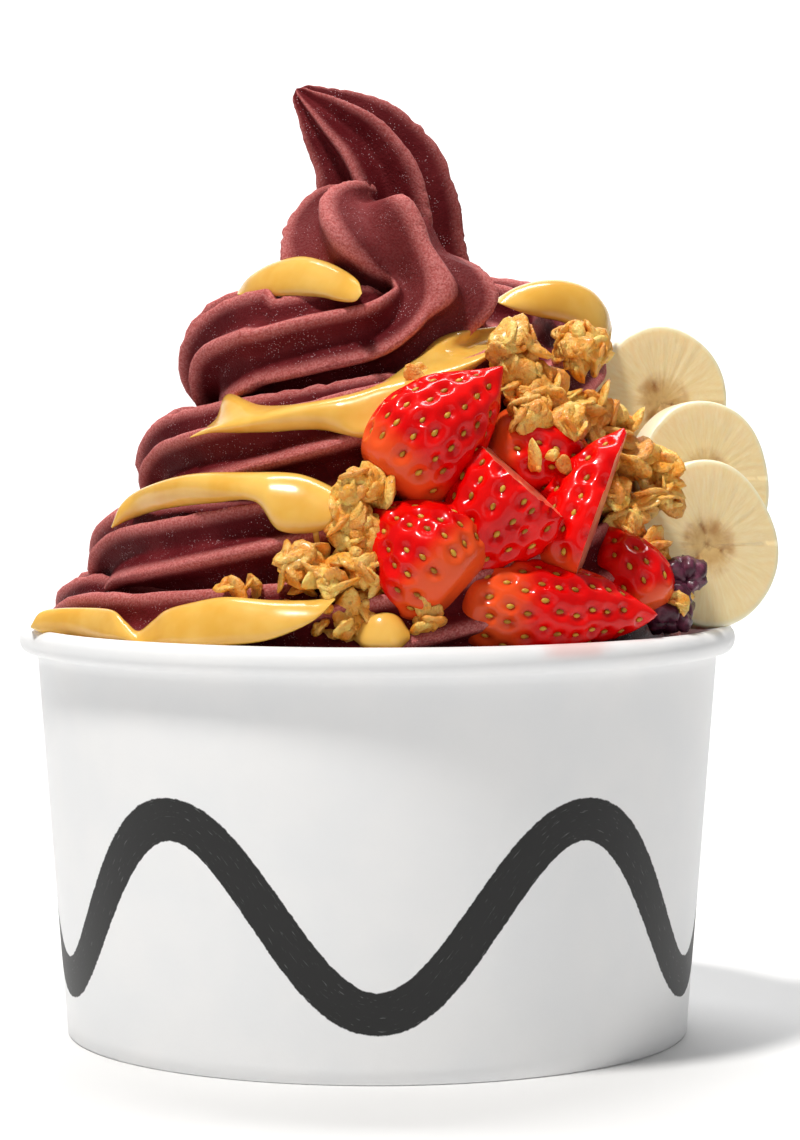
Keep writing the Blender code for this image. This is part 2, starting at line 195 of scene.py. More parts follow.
def node(tree, kind, sockets=None, **settings):
    """A shader node; sockets maps an input to its value or to what feeds it."""
    made = tree.nodes.new("ShaderNode" + kind)
    for key, value in settings.items():
        setattr(made, key, value)
    for key, value in (sockets or {}).items():
        wire(tree, made.inputs[key], value)
    return made


def maths(tree, operation, a, b=0.0):
    return node(tree, "Math", {0: a, 1: b}, operation=operation).outputs[0]


def times(tree, a, b):
    return maths(tree, "MULTIPLY", a, b)


def plus(tree, a, b):
    return maths(tree, "ADD", a, b)


def between(tree, value, low, high, to_low=0.0, to_high=1.0, smooth=True):
    kind = "SMOOTHSTEP" if smooth else "LINEAR"
    sockets = {"Value": value, "From Min": low, "From Max": high, "To Min": to_low, "To Max": to_high}
    return node(tree, "MapRange", sockets, interpolation_type=kind).outputs[0]


def blend(tree, amount, a, b):
    """Colour a where amount is 0 and colour b where it is 1."""
    made = node(tree, "Mix", data_type="RGBA")
    wire(tree, made.inputs["Factor"], amount)
    wire(tree, made.inputs[6], a)
    wire(tree, made.inputs[7], b)
    return made.outputs[2]


def mottled(tree, value, low, high, first, second):
    """The first colour where the value is low and the second where it is high."""
    return blend(tree, between(tree, value, low, high), shade(*first), shade(*second))


def grain(tree, where, scale, detail=3.0, roughness=0.55):
    sockets = {"Vector": where, "Scale": scale, "Detail": detail, "Roughness": roughness}
    return node(tree, "TexNoise", sockets).outputs["Fac"]


def cells(tree, where, scale):
    return node(tree, "TexVoronoi", {"Vector": where, "Scale": scale}).outputs["Distance"]


def bump(tree, height, distance, strength=1.0, under=None):
    sockets = {"Height": height, "Distance": distance, "Strength": strength}
    if under is not None:
        sockets["Normal"] = under
    return node(tree, "Bump", sockets).outputs["Normal"]


def marked(tree, name):
    return node(tree, "Attribute", attribute_name=name).outputs["Fac"]


def finish_named(name, **values):
    """A new material; values are the shader's own sockets, with _ for a space."""
    material = bpy.data.materials.new(name)
    material.use_nodes = True
    tree = material.node_tree
    shader = tree.nodes["Principled BSDF"]
    for key, value in values.items():
        shader.inputs[key.replace("_", " ")].default_value = value
    where = node(tree, "TexCoord").outputs["Object"]
    return material, tree, shader, where


def effect(name, inputs, outputs):
    """A node group with named inputs and outputs, built once."""
    tree = bpy.data.node_groups.new(name, "ShaderNodeTree")
    for key, kind, value in inputs:
        socket = tree.interface.new_socket(key, in_out="INPUT", socket_type=kind)
        if value is not None:
            socket.default_value = value
    for key, kind in outputs:
        tree.interface.new_socket(key, in_out="OUTPUT", socket_type=kind)
    return tree, tree.nodes.new("NodeGroupInput").outputs, tree.nodes.new("NodeGroupOutput").inputs


def specks_and_grain():
    """Fine uneven skin: a height and a mask of specks."""
    tree, given, out = effect(
        "specks and grain",
        (("Position", "NodeSocketVector", None), ("Grain size", "NodeSocketFloat", 900.0),
         ("Speck size", "NodeSocketFloat", 900.0), ("Speck share", "NodeSocketFloat", 0.2)),
        (("Height", "NodeSocketFloat"), ("Specks", "NodeSocketFloat")))
    fine = grain(tree, given["Position"], given["Grain size"], 4.0, 0.6)
    spot = cells(tree, given["Position"], given["Speck size"])
    wire(tree, out["Height"], fine)
    edge = plus(tree, given["Speck share"], 0.08)
    wire(tree, out["Specks"], between(tree, spot, edge, given["Speck share"]))
    return tree


SPECKS = specks_and_grain()


def specks(tree, where, grain_size, speck_size, share):
    made = node(tree, "Group", node_tree=SPECKS)
    for key, value in (("Position", where), ("Grain size", grain_size), ("Speck size", speck_size),
                       ("Speck share", share)):
        wire(tree, made.inputs[key], value)
    return made.outputs["Height"], made.outputs["Specks"]


# Finishes.

def frosty_soft_serve():
    """Dark berry soft serve with deep flutes and tiny ice specks; the crests are pinker and lighter and the
    flutes darker, partly the drier crests' own colour and partly painted highlight on the crests and painted
    shade in the flutes.
    """
    material, tree, shader, where = finish_named(
        "frosty soft serve", Roughness=0.5, Subsurface_Weight=0.08, Subsurface_Scale=0.001,
        Subsurface_Radius=(1.0, 0.2, 0.2), Specular_IOR_Level=0.06)
    crest = marked(tree, "crest")
    cloud = grain(tree, where, 70.0, 3.0)
    height, ice = specks(tree, where, 2600.0, 2300.0, 0.17)
    uneven = between(tree, grain(tree, where, 330.0, 3.0), 0.46, 0.6)
    in_flutes = between(tree, crest, 0.9, 0.3, 0.15, 1.0)
    ice = times(tree, times(tree, ice, uneven), in_flutes)
    # Dark flute colour and light crest colour: partly the serve's own colour, partly painted shade in the
    # flutes and painted highlight on the crests.
    body = mottled(tree, cloud, 0.35, 0.65, (88, 16, 22), (108, 32, 36))
    ridge = mottled(tree, height, 0.38, 0.62, (188, 94, 90), (216, 134, 130))
    lit = blend(tree, between(tree, crest, 0.42, 1.0, 0.0, 0.9), body, ridge)
    wire(tree, shader.inputs["Base Color"],
         blend(tree, times(tree, ice, 0.6), lit, shade(226, 186, 190)))
    wire(tree, shader.inputs["Roughness"], between(tree, ice, 0.0, 1.0, 0.5, 0.32))
    coarse = grain(tree, where, 420.0, 3.0)
    low = bump(tree, coarse, 0.00035, 0.7)
    wire(tree, shader.inputs["Normal"], bump(tree, height, 0.00034, 0.9, low))
    return material


def nut_butter():
    material, tree, shader, where = finish_named(
        "glossy nut butter", Roughness=0.24, Subsurface_Weight=0.25, Subsurface_Scale=0.002,
        Subsurface_Radius=(1.0, 0.6, 0.25), Specular_IOR_Level=0.35, Coat_Weight=0.45, Coat_Roughness=0.12)
    cloud = grain(tree, where, 120.0, 3.0)
    wire(tree, shader.inputs["Base Color"], mottled(tree, cloud, 0.3, 0.7, (226, 170, 66), (236, 188, 92)))
    wire(tree, shader.inputs["Normal"], bump(tree, grain(tree, where, 260.0, 2.0), 0.0002, 0.25))
    return material


def strawberry_skin():
    """Wet red skin that turns orange where the shoulder mark says so, painted darker red in the seed pits as
    painted shade.
    """
    material, tree, shader, where = finish_named(
        "strawberry skin", Roughness=0.24, Subsurface_Weight=0.07, Subsurface_Scale=0.0015,
        Subsurface_Radius=(1.0, 0.12, 0.06), Specular_IOR_Level=0.08, Coat_Weight=0.42, Coat_Roughness=0.06)
    cloud = grain(tree, where, 160.0, 4.0)
    red = mottled(tree, cloud, 0.35, 0.7, (214, 0, 2), (240, 12, 8))
    ripe = between(tree, plus(tree, marked(tree, "shoulder"), times(tree, cloud, 0.35)), 0.45, 1.15)
    pale = blend(tree, ripe, red, shade(234, 84, 34))
    # The seed pits are painted darker red: painted shade in the hollows.
    deep = blend(tree, between(tree, marked(tree, "pit"), 0.2, 1.0, 0.0, 0.6), pale, shade(146, 0, 2))
    wire(tree, shader.inputs["Base Color"], deep)
    wire(tree, shader.inputs["Normal"], bump(tree, grain(tree, where, 700.0, 2.0), 0.0002, 0.3))
    return material


def strawberry_flesh():
    """Cut face: red and pale mottled by noise, with fine wet streaks."""
    material, tree, shader, where = finish_named(
        "strawberry flesh", Roughness=0.28, Subsurface_Weight=0.3, Subsurface_Scale=0.002,
        Subsurface_Radius=(1.0, 0.35, 0.25), Specular_IOR_Level=0.3, Coat_Weight=0.2, Coat_Roughness=0.1)
    streaks = grain(tree, where, 520.0, 4.0, 0.6)
    cloud = grain(tree, where, 130.0, 2.0)
    tone = plus(tree, times(tree, streaks, 0.5), times(tree, cloud, 0.5))
    wire(tree, shader.inputs["Base Color"], mottled(tree, tone, 0.38, 0.62, (228, 84, 62), (242, 150, 116)))
    wire(tree, shader.inputs["Normal"], bump(tree, streaks, 0.0002, 0.5))
    return material


def seed_coat():
    material, tree, shader, where = finish_named("strawberry seed", Roughness=0.35, Specular_IOR_Level=0.35)
    cloud = grain(tree, where, 300.0, 2.0)
    wire(tree, shader.inputs["Base Color"], mottled(tree, cloud, 0.4, 0.6, (158, 104, 18), (206, 158, 50)))
    return material


def banana_flesh():
    """Cream flesh with fine spokes, a translucent three-part heart and small dark seeds."""
    material, tree, shader, where = finish_named(
        "banana flesh", Roughness=0.34, Subsurface_Weight=0.35, Subsurface_Scale=0.003,
        Subsurface_Radius=(1.0, 0.75, 0.4), Coat_Weight=0.15, Coat_Roughness=0.15)
    middle, turn = marked(tree, "middle"), marked(tree, "turn")
    spoke_place = node(tree, "CombineXYZ", {0: times(tree, turn, 26.0),
                                            1: times(tree, middle, 2.2), 2: 0.0}).outputs[0]
    spokes = grain(tree, spoke_place, 2.0, 4.0, 0.6)
    cream = mottled(tree, spokes, 0.2, 0.85, (246, 217, 158), (253, 233, 188))
    fine = grain(tree, where, 800.0, 3.0)
    heart = between(tree, plus(tree, middle, times(tree, fine, 0.14)), 0.52, 0.2)
    core = blend(tree, times(tree, heart, 0.7), cream, shade(212, 170, 96))
    dark = times(tree, marked(tree, "seed"), between(tree, fine, 0.35, 0.6))
    core = blend(tree, dark, core, shade(150, 92, 40))
    ring = times(tree, between(tree, middle, 0.08, 0.18), between(tree, middle, 0.44, 0.3))
    patchy = between(tree, grain(tree, where, 150.0, 4.0), 0.44, 0.64, 0.0, 0.75)
    patches = times(tree, ring, patchy)
    core = blend(tree, patches, core, shade(186, 130, 66))
    rim = blend(tree, between(tree, middle, 0.9, 0.985), core, shade(246, 236, 204))
    wire(tree, shader.inputs["Base Color"], rim)
    low = bump(tree, spokes, 0.0003, 0.15)
    wire(tree, shader.inputs["Normal"], bump(tree, fine, 0.0002, 0.5, low))
    return material


def glazed_oats():
    """Toasted flakes under a thin honey glaze; each flake has its own tone."""
    material, tree, shader, where = finish_named(
        "glazed oats", Roughness=0.42, Subsurface_Weight=0.15, Subsurface_Scale=0.001,
        Coat_Weight=0.18, Coat_Roughness=0.18)
    tone = marked(tree, "tone")
    height, spots = specks(tree, where, 1300.0, 700.0, 0.2)
    coarse = grain(tree, where, 380.0, 4.0, 0.6)
    pale = mottled(tree, coarse, 0.35, 0.68, (255, 168, 42), (255, 222, 120))
    toned = blend(tree, between(tree, tone, 0.0, 1.0, 0.0, 0.55, smooth=False), pale, shade(216, 118, 32))
    wire(tree, shader.inputs["Base Color"],
         blend(tree, times(tree, spots, 0.35), toned, shade(150, 88, 30)))
    wire(tree, shader.inputs["Normal"], bump(tree, height, 0.0008, 0.9))
    return material


def crushed_berry():
    material, tree, shader, where = finish_named(
        "crushed dark berry", Roughness=0.32, Specular_IOR_Level=0.3, Coat_Weight=0.15,
        Coat_Roughness=0.15)
    cloud = grain(tree, where, 380.0, 4.0)
    wire(tree, shader.inputs["Base Color"], mottled(tree, cloud, 0.4, 0.65, (68, 26, 44), (118, 60, 82)))
    wire(tree, shader.inputs["Normal"], bump(tree, cloud, 0.0006, 0.7))
    return material


STRIPE_HEIGHT, STRIPE_SWING, STRIPE_HALF = 0.0275, 0.0155, 0.0036      # in metres
STRIPE_WAVES = 5.0
STRIPE_RADIUS = 0.058         # of the wall where the stripe runs
STAIN_MIDDLE = (0.0329, -0.0543, 0.0722)


def cup_paper():
    """White coated paper with one brushed black wave round the wall and a faint juice mark on the rim."""
    material, tree, shader, where = finish_named("coated paper", Roughness=0.38, Specular_IOR_Level=0.4)
    centred = node(tree, "Mapping", {"Vector": where, "Location": (-AXIS[0], 0, 0)}).outputs[0]
    parts = node(tree, "SeparateXYZ", {0: centred}).outputs
    turn = maths(tree, "ARCTAN2", parts["Y"], parts["X"])
    phase = times(tree, turn, STRIPE_WAVES)
    wave = times(tree, maths(tree, "SINE", phase), STRIPE_SWING)
    slope = times(tree, maths(tree, "COSINE", phase), STRIPE_SWING * STRIPE_WAVES / STRIPE_RADIUS)
    rise = maths(tree, "SUBTRACT", maths(tree, "SUBTRACT", parts["Z"], STRIPE_HEIGHT), wave)
    steep = maths(tree, "SQRT", plus(tree, times(tree, slope, slope), 1.0))
    aside = maths(tree, "DIVIDE", rise, steep)
    ragged = times(tree, maths(tree, "SUBTRACT", grain(tree, where, 900.0, 3.0), 0.5), 0.0005)
    away = plus(tree, maths(tree, "ABSOLUTE", aside), ragged)
    ink = between(tree, away, STRIPE_HALF + 0.00012, STRIPE_HALF - 0.00012)
    brush = node(tree, "CombineXYZ", {0: times(tree, turn, 0.012), 1: aside, 2: 0.0}).outputs[0]
    dry = between(tree, grain(tree, brush, 2600.0, 2.0), 0.62, 0.8, 0.0, 0.12)
    ink = times(tree, ink, maths(tree, "SUBTRACT", 1.0, dry))
    near = node(tree, "VectorMath", {0: centred, 1: STAIN_MIDDLE}, operation="DISTANCE").outputs["Value"]
    stain = between(tree, plus(tree, near, times(tree, grain(tree, where, 160.0, 3.0), 0.006)),
                    0.0115, 0.006, 0.0, 0.5)
    stain = times(tree, stain, between(tree, parts["Z"], 0.0695, 0.0715))
    white = mottled(tree, grain(tree, where, 60.0, 2.0), 0.3, 0.7, (240, 241, 242), (244, 244, 244))
    stained = blend(tree, stain, white, shade(236, 176, 168))
    wire(tree, shader.inputs["Base Color"], blend(tree, ink, stained, shade(30, 30, 30)))
    wire(tree, shader.inputs["Roughness"], between(tree, ink, 0.0, 1.0, 0.38, 0.5))
    wire(tree, shader.inputs["Normal"], bump(tree, grain(tree, where, 1400.0, 2.0), 0.00005, 0.3))
    return material


# Paper cup.

CUP_HEIGHT, RIM_HEIGHT, FLOOR, PAPER = 72.6, 4.8, 7.0, 0.7
WALL_TOP, RIM_OUT, BASE = 60.3, 63.5, 55.2      # radii


def wall_radius(z):
    return BASE + (WALL_TOP - BASE) * z / (CUP_HEIGHT - RIM_HEIGHT)


def paper_cup(material):
    """One profile, spun about the axis: floor, inner wall, rolled rim, outer wall, base ring, underside."""
    half = (RIM_OUT - WALL_TOP + PAPER) / 2
    roll_z = CUP_HEIGHT - RIM_HEIGHT / 2
    profile = [(0.0, FLOOR + PAPER), (30.0, FLOOR + PAPER), (wall_radius(8) - PAPER - 1, FLOOR + PAPER),
               (wall_radius(9) - PAPER, FLOOR + PAPER + 1), (wall_radius(40) - PAPER, 40.0)]
    for step in range(31):
        angle = math.radians(180 - 8 * step)
        profile.append((WALL_TOP - PAPER + half * (1 + math.cos(angle)),
                        roll_z + RIM_HEIGHT / 2 * math.sin(angle)))
    under_rim = CUP_HEIGHT - RIM_HEIGHT
    profile += [(WALL_TOP + 0.35, under_rim + 0.15), (WALL_TOP - 0.02, under_rim - 0.35)]
    profile += [(wall_radius(z), float(z)) for z in range(66, 0, -3)]
    profile += [(BASE + 0.02, 0.35), (BASE - 0.25, 0.0), (BASE - 1.1, 0.0), (BASE - 1.4, 0.3),
                (wall_radius(6) - 2 * PAPER, 6.0), (wall_radius(7) - 2 * PAPER - 1.0, FLOOR), (0.0, FLOOR)]
    start_afresh()
    bpy.ops.mesh.primitive_circle_add(vertices=len(profile), radius=1)
    piece = bpy.context.object
    piece.name = piece.data.name = "paper_cup"
    pull(piece, to_row([(r, 0.0, z) for r, z in profile]))
    pick_edges(piece, lambda ends: {end.index for end in ends} == {0, len(profile) - 1})
    bpy.ops.mesh.delete(type="EDGE_FACE")
    bpy.ops.mesh.select_all(action="SELECT")
    bpy.ops.mesh.spin(steps=192, angle=math.tau, center=tuple(AXIS), axis=(0, 0, 1))
    mode("OBJECT")
    close_up(piece)
    piece.data.materials.append(material)
    return piece


# Swirl.

RIDGES = 7
STRAND = 10.5
FLUTE_DEPTH = 0.33            # as a part of the radius, at the middle of a flute
CREST_ROUND = 0.24
TURNS = (-0.6, 3.12)
# How far the ridges stand turned, in degrees: at one turn near the top, then for each turn, up the tail, and
# where the coil passes the left side.
PHASE_TURN, TAIL_PHASE, PHASE_RATE = 3.08, 6.0, 190.0
TAIL_TWIST, SIDE_TWIST = 46, 3 * 360 / RIDGES
COIL_STEPS, TAIL_STEPS = 500, 120
# The coil's radius and height by the turn, highest power first; its hidden start sinks into the tub and
# inwards, and the coils lie tilted, higher at the right and at the back.
NARROWS, WIDEST, CLIMBS = (-0.5, -7.2, 49.0), 48.4, (0.75, 13.6, 74.2)
START_DOWN, START_INWARDS, TILT = 13.0, 2.5, (0.12, 0.07)
# Swellings along the turns, and along the tail: middle, reach, size.
OUTWARD, UPWARD = ((2.52, 0.1, 2.6), (0.45, 0.08, -4.0)), ((2.62, 0.14, 5.6), (0.0, 0.13, 3.4))
FULLER, SQUEEZE = ((2.99, 0.16, 1.9),), ((0.35, 0.12, 0.72), (0.1, 0.13, 0.2))
TAIL = (  # where the strand leaves the coil, turns up and closes: x, y, z, radius
    (-8.8, -18.6, 122.7, 10.6),
    (-3.8, -19.4, 123.8, 10.5),
    (0.8, -19.2, 125.0, 10.5),
    (4.0, -17.8, 126.8, 11.2),
    (4.8, -15.8, 129.6, 13.2),
    (2.8, -13.4, 132.8, 15.6),
    (0.2, -11.2, 136.2, 16.8),
    (-1.6, -9.4, 139.4, 15.8),
    (-2.0, -8.0, 142.0, 12.6),
    (-1.2, -7.2, 143.6, 8.4),
    (0.2, -6.6, 144.2, 4.2),
    (1.4, -6.4, 144.2, 0.0),
)


def coil(turn):
    """Middle of the strand and its outward direction."""
    angle = math.pi + math.tau * turn
    out = np.stack((np.cos(angle), np.sin(angle), np.zeros_like(angle)), 1)
    radius = np.minimum(np.polyval(NARROWS, turn), WIDEST) + humps(turn, OUTWARD)
    height = np.polyval(CLIMBS, turn) + humps(turn, UPWARD)
    start = np.clip((-0.1 - turn) / 0.5, 0, 1)
    middle = out * (radius - START_INWARDS * start)[:, None]
    middle[:, 2] = height - START_DOWN * start ** 1.5 + middle[:, :2] @ TILT
    return middle, out


def crest_of(way_round):
    """1 on a ridge, 0 in the middle of the scooped flute beside it."""
    scoop = np.sqrt(np.sin(math.pi * way_round * RIDGES) ** 2 + CREST_ROUND ** 2) - CREST_ROUND
    return 1 - scoop / (math.sqrt(1 + CREST_ROUND ** 2) - CREST_ROUND)


def fluted(way_round, radius, depth):
    crest = crest_of(way_round)
    return crest, radius * (1 - depth * (1 - crest))


def roughen(points, out, crest, size):
    """Small tears on the crests and a slow wander of the whole skin."""
    tear = np.clip(ripple(points, 1.7, 3.7) - 0.12, 0, 1) * crest ** 4
    fine = ripple(points, 0.8, 8.1) * (0.05 + 0.2 * crest ** 3)
    wander = ripple(points, 9.0, 1.3) * 0.3
    return points + out * ((wander + fine - 1.0 * tear) * size)[:, None]


def strand_line():
    """Middle, two section directions, radius, phase and inner squeeze at each step of the strand."""
    turn = np.linspace(*TURNS, COIL_STEPS)
    middle, out = coil(turn)
    before, _ = coil(np.array([TURNS[1] - 0.07]))
    rows = [(*before[0], STRAND), (*middle[-1], STRAND), *TAIL]
    part = np.linspace(0, 1, TAIL_STEPS + 1)[1:]
    tail = through(rows, (1 + part * (len(rows) - 2)) / (len(rows) - 1))
    line = np.vstack((middle, tail[:, :3]))
    across = [Vector(v) for v in out]
    upward = [Vector((0, 0, 1))] * COIL_STEPS
    ahead = np.gradient(line, axis=0)
    for i in range(COIL_STEPS, len(line)):
        swing = Vector(ahead[i - 1]).rotation_difference(Vector(ahead[i]))
        across.append(swing @ across[-1])
        upward.append(swing @ upward[-1])
    radius = np.concatenate((STRAND + humps(turn, FULLER), np.maximum(tail[:, 3], 0)))
    wrapped = sum(ease(n - 0.13, n + 0.08, turn) for n in range(4)) - 4
    last = TAIL_PHASE + PHASE_RATE * (TURNS[1] - PHASE_TURN)
    phase = np.concatenate((TAIL_PHASE + PHASE_RATE * (turn - PHASE_TURN) + SIDE_TWIST * wrapped,
                            last + TAIL_TWIST * ease(0.2, 0.46, part)))
    squeeze = np.concatenate((np.zeros(COIL_STEPS), humps(part, SQUEEZE)))
    return line, np.array(across), np.array(upward), radius, phase, squeeze


# The low lobe: where it starts at the right, its top's height and slope, how much of what stands over that
# is pressed down, and its swelling by height.
LOBE_START, LOBE_TOP, LOBE_SLOPE, LOBE_PRESS = (8.5, 11.0), 143.0, 0.55, 0.86
LOBE_SWELL = ((129.0, 6.0, 4.0),)


def press_shoulder(points, late):
    """Where the strand turns up, its right side is a low lobe that slopes away below the tip."""
    x, z = points[:, 0], points[:, 2]
    side = ease(*LOBE_START, x) * late
    over = np.maximum(0, z - (LOBE_TOP - LOBE_SLOPE * x))
    swell = side * humps(z - over, LOBE_SWELL)
    return points + np.stack((swell, 0 * x, -LOBE_PRESS * side * over), 1)


def strand_place(way_round, way_along):
    line, across, upward, radius, phase, squeeze = strand_line()
    at = np.rint(way_along * (len(line) - 1)).astype(int)
    crest, reach = fluted(way_round, radius[at], FLUTE_DEPTH)
    angle = math.tau * way_round + np.radians(phase[at])
    direction = across[at] * np.cos(angle)[:, None] + upward[at] * np.sin(angle)[:, None]
    reach = reach * (1 - squeeze[at] * np.clip(np.sin(angle), 0, 1) ** 1.5)
    points = press_shoulder(line[at] + direction * reach[:, None], ease(0.84, 0.88, way_along))
    # From where the strand turns up, the flutes are painted lighter towards the crest colour: partly frost,
    # partly painted light where light falls on the knob.
    frost_and_painted_light = 0.55 * ease(0.8, 0.88, way_along)
    return roughen(points, direction, crest, 1.0), {"crest": np.maximum(crest, frost_and_painted_light)}


TIP = (  # the pulled tip: x, height, radius
    (2.8, 122.0, 17.0),
    (2.8, 130.0, 15.5),
    (2.5, 138.0, 13.2),
    (1.5, 144.0, 13.6),
    (0.2, 150.5, 12.5),
    (-3.2, 156.5, 10.4),
    (-8.2, 161.4, 6.9),
    (-12.2, 165.0, 3.4),
    (-13.7, 166.4, 1.9),
    (-14.3, 167.1, 0.0),
)
TIP_TURN, TIP_FLUTES = -17.0, 0.42


def tip_place(way_round, way_along):
    rows = through(TIP, way_along)
    ahead, behind = (through(TIP, np.clip(way_along + step, 0, 1)) for step in (0.02, -0.02))
    along = np.stack((ahead[:, 0] - behind[:, 0], np.zeros(len(rows)), ahead[:, 1] - behind[:, 1]), 1)
    along /= np.linalg.norm(along, axis=1)[:, None]
    side = np.cross(np.array((0.0, 1.0, 0.0)), along)
    crest, radius = fluted(way_round, np.maximum(rows[:, 2], 0), TIP_FLUTES)
    angle = math.tau * way_round + math.radians(TIP_TURN)
    direction = side * np.sin(angle)[:, None] + np.array((0.0, -1.0, 0.0)) * np.cos(angle)[:, None]
    middle = np.stack((rows[:, 0], np.zeros(len(rows)), rows[:, 1]), 1)
    points = middle + direction * radius[:, None]
    # The tip's crest colour is held darker than the coil's: painted shade.
    return roughen(points, direction, crest, 0.8), {"crest": 0.8 * crest}


FILLING = (  # radius, height
    (0.0, 8.4), (27.0, 8.4), (53.5, 8.4), (54.6, 10.0), (56.0, 26.0), (57.2, 42.0), (58.6, 60.0),
    (58.9, 66.0), (56.0, 69.0), (48.0, 71.0), (42.0, 84.0), (31.0, 100.0), (21.0, 118.5), (13.0, 128.0),
    (0.0, 130.0))


def filling_place(way_round, way_along):
    """What fills the tub and the middle of the coils."""
    where = way_along * (len(FILLING) - 1)
    rows = np.stack([np.interp(where, range(len(FILLING)), column) for column in zip(*FILLING)], 1)
    angle = math.tau * way_round
    points = np.stack((rows[:, 0] * np.cos(angle), rows[:, 0] * np.sin(angle), rows[:, 1]), 1)
    return points, {"crest": np.zeros(len(points))}


def swirl(material):
    parts = [
        rolled_tube("strand", RIDGES * 16, COIL_STEPS + TAIL_STEPS - 1, strand_place),
        rolled_tube("tip", RIDGES * 18, 110, tip_place),
        rolled_tube("filling", 72, 56, filling_place),
    ]
    piece = join("soft_serve_swirl", parts)
    piece.data.materials.append(material)
    return piece


# Sauce.

def seen_at(points):
    """Rays from the eye through points (right, up) of the picture plane that holds the cup's axis."""
    points = np.asarray(points, float)
    return np.stack((points[:, 0], np.zeros(len(points)), points[:, 1]), 1) - EYE


def soften(grid, rounds):
    for _ in range(rounds):
        for axis in (0, 1):
            grid = np.swapaxes(grid, 0, axis)
            low, high = np.vstack((grid[:1], grid[:-1])), np.vstack((grid[1:], grid[-1:]))
            grid = np.swapaxes(0.25 * low + 0.5 * grid + 0.25 * high, 0, axis)
    return grid


SAUCE_AROUND, SAUCE_ALONG = 48, 110
SUNK, SUNK_OVER_HOLLOW = 1.6, 5.0      # how far the underside lies behind the skin, in millimetres


def depths_seen(rays, surface):
    """How far along each ray the surface is met, as a part of the ray; nan where the ray misses it."""
    eye = Vector(to_row(EYE))
    depth = np.full(len(rays), np.nan)
    for i, ray in enumerate(rays):
        hit = surface.ray_cast(eye, Vector(ray * MM).normalized())
        if hit[0] is not None:
            depth[i] = hit[3] / MM / np.linalg.norm(ray)
    return depth.reshape(SAUCE_ALONG + 1, SAUCE_AROUND + 1)


def without_gaps(depth):
    for row in depth:
        bad = np.isnan(row)
        if bad.all():
            row[:] = np.nanmedian(depth)
        elif bad.any():
            row[bad] = np.interp(np.flatnonzero(bad), np.flatnonzero(~bad), row[~bad])
    return np.minimum(depth, np.nanmedian(depth) + 0.03)


def sauce_run(name, upper, lower, thick, depths, surface):
    """Sauce between two edges as the eye sees them, lying on the swirl with a rounded skin."""
    turns = np.linspace(0, 1, SAUCE_AROUND + 1)
    ways = np.linspace(0, 1, SAUCE_ALONG + 1)
    top, bottom = through(upper, ways), through(lower, ways)
    across = 0.5 - 0.5 * np.cos(math.tau * turns)          # 0 at the upper edge, 1 at the lower one
    lift = np.sin(math.tau * turns)
    plane = top[:, None, :] * (1 - across)[None, :, None] + bottom[:, None, :] * across[None, :, None]
    rays = seen_at(plane.reshape(-1, 2))
    if depths:      # it lies over a hollow: where it lies is given instead, as y from end to end
        lies = np.interp(ways, np.linspace(0, 1, len(depths)), depths)[:, None] + 2 - 4 * across[None, :]
        depth, deep = (lies - EYE[1]) / -EYE[1], SUNK_OVER_HOLLOW
    else:
        depth, deep = depths_seen(rays, surface), SUNK
    depth = without_gaps(depth)
    ground = soften(np.minimum(soften(depth, 36), depth + 0.0006), 8)
    width = np.linalg.norm(top - bottom, axis=1)
    full = thick * np.minimum(1, (width / 7.0)) ** 0.7
    reach = np.linalg.norm(seen_at([(0.0, 100.0)])[0])
    raised = ground - full[:, None] * np.clip(lift, 0, 1)[None, :] ** 0.65 / reach
    sunk = depth + deep * np.clip(-lift, 0, 1)[None, :] / reach
    final = np.where(lift[None, :] > 0, raised, sunk)
    points = EYE + rays * final.reshape(-1)[:, None]
    grid_points = points.reshape(SAUCE_ALONG + 1, SAUCE_AROUND + 1, 3)

    def place(way_round, way_along):
        i = np.rint(way_along * SAUCE_ALONG).astype(int)
        j = np.rint(way_round * SAUCE_AROUND).astype(int)
        return grid_points[i, j], {}

    return rolled_tube(name, SAUCE_AROUND, SAUCE_ALONG, place)


def px(*rows):
    """Points of the photograph's plane as right and up, in millimetres about the cup's axis."""
    return [((u - PHOTO_AXIS) / PIXELS_PER_MM, EYE[2] - (v - PHOTO_LEVEL) / PIXELS_PER_MM) for u, v in rows]


